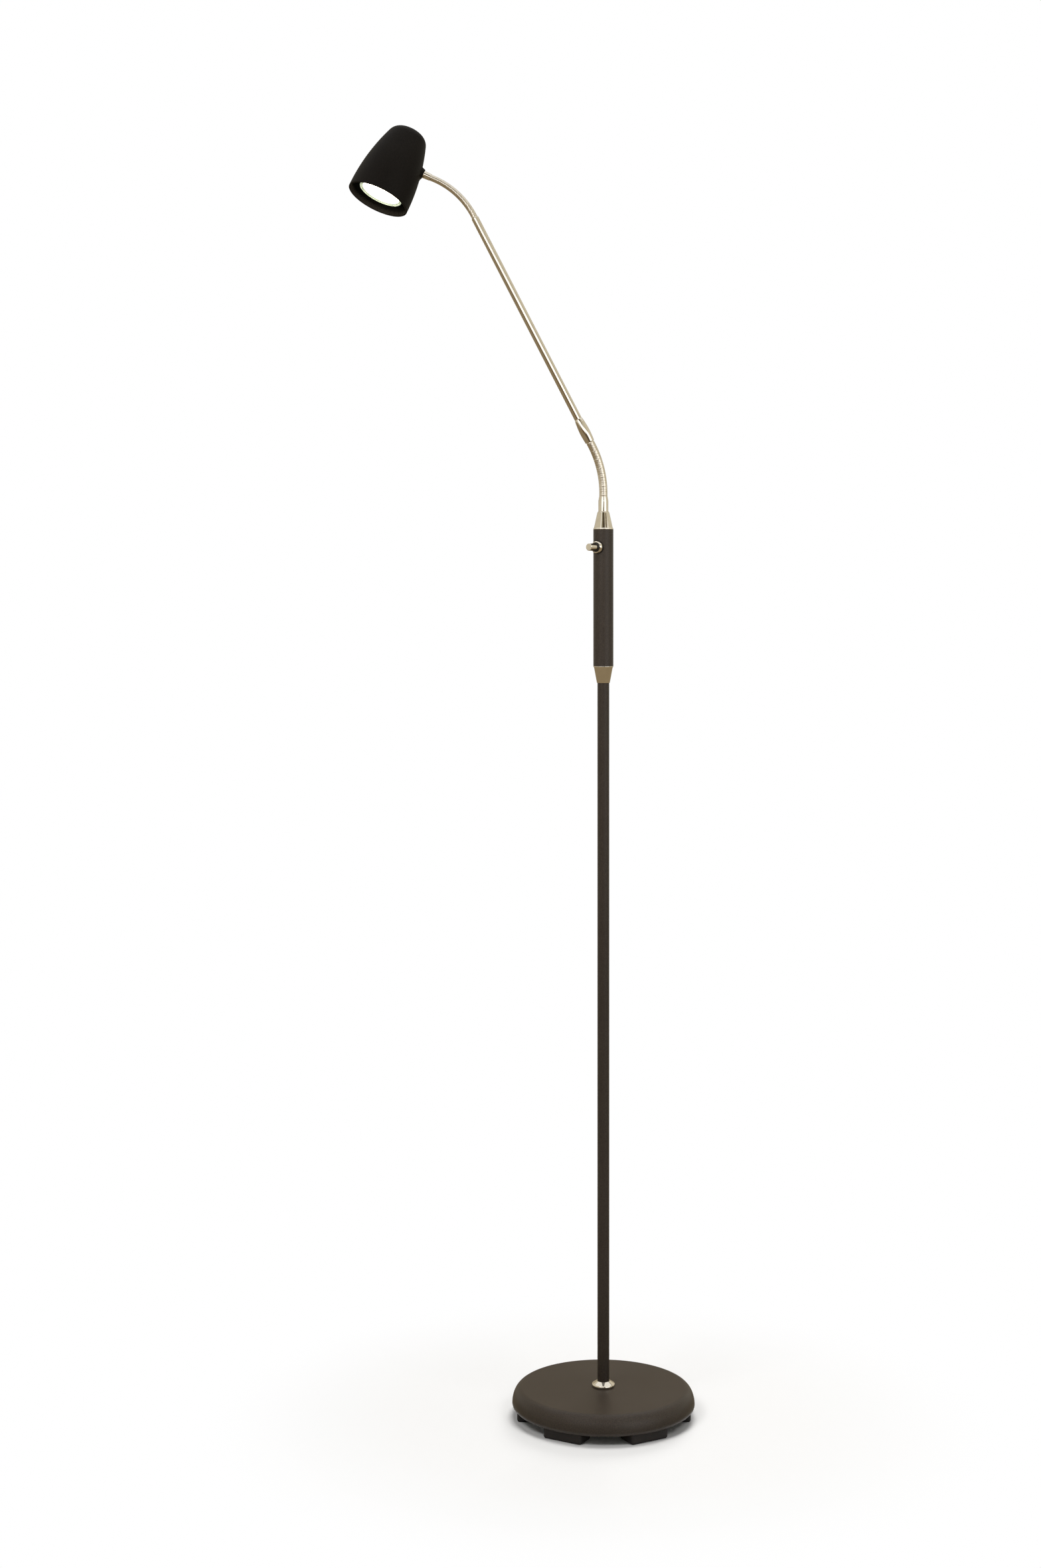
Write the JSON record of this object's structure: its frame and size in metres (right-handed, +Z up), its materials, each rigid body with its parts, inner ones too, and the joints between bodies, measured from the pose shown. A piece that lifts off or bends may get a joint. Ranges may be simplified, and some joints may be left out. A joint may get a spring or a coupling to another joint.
{
  "type": "gooseneck reading floor lamp",
  "caption": "Floor reading lamp: black weighted base and pole, chrome arm between ribbed goosenecks, bullet shade with a twist-lock reflector bulb.",
  "frame": {"origin": "on the floor, on the pole's axis", "axes": "+Z up along the pole, -X towards the shade, -Y towards the viewer of the picture"},
  "size_m": [0.3789, 0.2018, 1.4167],
  "materials": {
    "black_coat": "fine textured powder coat",
    "soft_black": "soft matt paint",
    "chrome": "polished",
    "rubber": "matt",
    "iron": "rough",
    "steel": "zinc plated",
    "black_plastic": "fine grain",
    "pale_plastic": "heat resistant, matt",
    "brass": "turned",
    "reflector": "bright",
    "glass": "clear"
  },
  "bodies": {
    "stand": {"base_cover": "black_coat", "base_weight": "iron", "base_plate": "steel", "plate_screws": "steel", "foot_pads": "rubber", "base_nipple": "steel", "base_washer": "steel", "base_nut": "steel", "cable_grommet": "black_plastic", "base_collar": "chrome", "pole_insert": "steel", "pole_tube": "black_coat", "lower_cone": "chrome", "pole_clamp": "steel", "clamp_screw": "steel", "grip_tube": "black_coat", "switch_body": "black_plastic", "switch_bush": "black_plastic", "switch_nut": "chrome", "switch_spring": "steel", "upper_cone": "chrome", "neck_washer": "steel", "neck_nut": "steel", "neck_ferrule": "chrome", "lower_neck_root": "chrome"},
    "button": {"switch_button": "chrome"},
    "lower_neck_1": {"lower_neck_1": "chrome"},
    "lower_neck_2": {"lower_neck_2": "chrome"},
    "lower_neck_3": {"lower_neck_3": "chrome"},
    "lower_neck_4": {"lower_neck_4": "chrome"},
    "lower_neck_5": {"lower_neck_5": "chrome"},
    "lower_neck_6": {"lower_neck_6": "chrome"},
    "arm": {"arm_coupling": "chrome", "arm_tube": "chrome", "upper_neck_root": "chrome"},
    "upper_neck_1": {"upper_neck_1": "chrome"},
    "upper_neck_2": {"upper_neck_2": "chrome"},
    "upper_neck_3": {"upper_neck_3": "chrome"},
    "upper_neck_4": {"upper_neck_4": "chrome"},
    "upper_neck_5": {"upper_neck_5": "chrome"},
    "upper_neck_6": {"upper_neck_6": "chrome"},
    "upper_neck_7": {"upper_neck_7": "chrome"},
    "upper_neck_8": {"upper_neck_8": "chrome"},
    "head": {"head_ferrule": "chrome", "head_bush": "black_plastic", "head_nut": "steel", "shade": "soft_black", "socket_bracket": "steel", "bulb_socket": "pale_plastic", "socket_screws": "steel"},
    "bulb": {"bulb_reflector": "reflector", "bulb_lens": "glass", "bulb_cap": "pale_plastic", "bulb_pins": "brass"}
  },
  "joints": [
    {"name": "lower_neck_bend_1", "type": "hinge", "parent": "stand", "child": "lower_neck_1", "pos_m": [0, 0, 1.0103], "axis": [0, -1, 0], "range_deg": [-22, 15]},
    {"name": "lower_neck_side_1", "type": "hinge", "parent": "lower_neck_1", "child": "lower_neck_2", "pos_m": [-0.00026, 0, 1.0202], "axis": [0.9938, 0, 0.1115], "range_deg": [-20, 20]},
    {"name": "lower_neck_bend_2", "type": "hinge", "parent": "lower_neck_2", "child": "lower_neck_3", "pos_m": [-0.00136, 0, 1.03004], "axis": [0, -1, 0], "range_deg": [-22, 15]},
    {"name": "lower_neck_side_2", "type": "hinge", "parent": "lower_neck_3", "child": "lower_neck_4", "pos_m": [-0.0033, 0, 1.03974], "axis": [0.9603, 0, 0.279], "range_deg": [-20, 20]},
    {"name": "lower_neck_bend_3", "type": "hinge", "parent": "lower_neck_4", "child": "lower_neck_5", "pos_m": [-0.00607, 0, 1.04925], "axis": [0, -1, 0], "range_deg": [-22, 15]},
    {"name": "lower_neck_side_3", "type": "hinge", "parent": "lower_neck_5", "child": "lower_neck_6", "pos_m": [-0.00963, 0, 1.05849], "axis": [0.8988, 0, 0.4384], "range_deg": [-20, 20]},
    {"name": "lower_neck_bend_4", "type": "hinge", "parent": "lower_neck_6", "child": "arm", "pos_m": [-0.01397, 0, 1.06738], "axis": [0, -1, 0], "range_deg": [-22, 15]},
    {"name": "upper_neck_bend_1", "type": "hinge", "parent": "arm", "child": "upper_neck_1", "pos_m": [-0.1415, 0, 1.31553], "axis": [0, -1, 0], "range_deg": [-20, 12]},
    {"name": "upper_neck_side_1", "type": "hinge", "parent": "upper_neck_1", "child": "upper_neck_2", "pos_m": [-0.14546, 0, 1.32267], "axis": [0.8261, 0, 0.5635], "range_deg": [-18, 18]},
    {"name": "upper_neck_bend_2", "type": "hinge", "parent": "upper_neck_2", "child": "upper_neck_3", "pos_m": [-0.15005, 0, 1.32941], "axis": [0, -1, 0], "range_deg": [-20, 12]},
    {"name": "upper_neck_side_2", "type": "hinge", "parent": "upper_neck_3", "child": "upper_neck_4", "pos_m": [-0.15526, 0, 1.3357], "axis": [0.7083, 0, 0.7059], "range_deg": [-18, 18]},
    {"name": "upper_neck_bend_3", "type": "hinge", "parent": "upper_neck_4", "child": "upper_neck_5", "pos_m": [-0.16101, 0, 1.34148], "axis": [0, -1, 0], "range_deg": [-20, 12]},
    {"name": "upper_neck_side_3", "type": "hinge", "parent": "upper_neck_5", "child": "upper_neck_6", "pos_m": [-0.16728, 0, 1.3467], "axis": [0.5664, 0, 0.8241], "range_deg": [-18, 18]},
    {"name": "upper_neck_bend_4", "type": "hinge", "parent": "upper_neck_6", "child": "upper_neck_7", "pos_m": [-0.17401, 0, 1.35132], "axis": [0, -1, 0], "range_deg": [-20, 12]},
    {"name": "upper_neck_side_4", "type": "hinge", "parent": "upper_neck_7", "child": "upper_neck_8", "pos_m": [-0.18113, 0, 1.3553], "axis": [0.4051, 0, 0.9143], "range_deg": [-18, 18]},
    {"name": "upper_neck_bend_5", "type": "hinge", "parent": "upper_neck_8", "child": "head", "pos_m": [-0.18859, 0, 1.35861], "axis": [0, -1, 0], "range_deg": [-20, 12]},
    {"name": "button_press", "type": "slide", "parent": "stand", "child": "button", "axis": [0.6157, 0.788, 0], "range_m": [0, 0.0025], "stiffness_N_per_m": 400, "springref_m": -0.003, "deforming": ["switch_spring"]},
    {"name": "bulb_twist", "type": "hinge", "parent": "head", "child": "bulb", "pos_m": [-0.247, -0.0123, 1.33333], "axis": [0.4013, 0.2521, 0.8806], "range_deg": [0, 15]}
  ]
}
